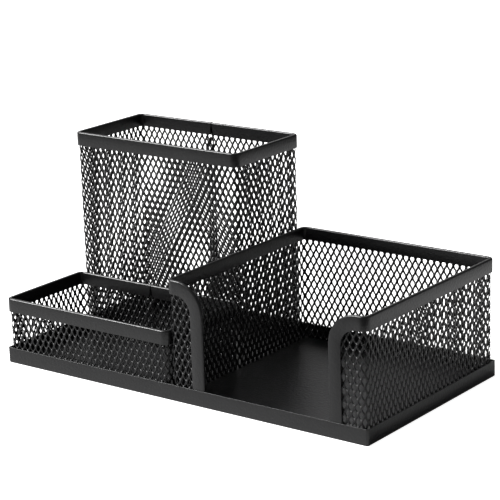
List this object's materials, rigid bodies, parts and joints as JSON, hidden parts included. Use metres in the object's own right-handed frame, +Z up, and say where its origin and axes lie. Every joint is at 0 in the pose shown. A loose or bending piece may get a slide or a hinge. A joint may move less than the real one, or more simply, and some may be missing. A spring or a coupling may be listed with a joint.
{
  "type": "desk organizer",
  "caption": "Powder-coated wire-mesh desk organizer: tall pen cup, low clip tray and open-fronted note bin standing in one steel pan.",
  "frame": {"origin": "centre of the pan's underside, on the desk", "axes": "+X to the right along the long side, +Y to the back, +Z up; the open front of the note bin faces -Y"},
  "size_m": [0.205, 0.105, 0.1014],
  "materials": {
    "pan_steel": "satin black powder coat on folded sheet steel",
    "rim_steel": "satin black powder coat on folded strip steel",
    "mesh_steel": "satin black powder coat on expanded steel mesh"
  },
  "bodies": {
    "root": {"base_pan": "pan_steel", "pen_cup_mesh": "mesh_steel", "pen_cup_rim": "rim_steel", "clip_tray_mesh": "mesh_steel", "clip_tray_rim": "rim_steel", "note_bin_mesh": "mesh_steel", "note_bin_rim": "rim_steel"}
  },
  "joints": []
}
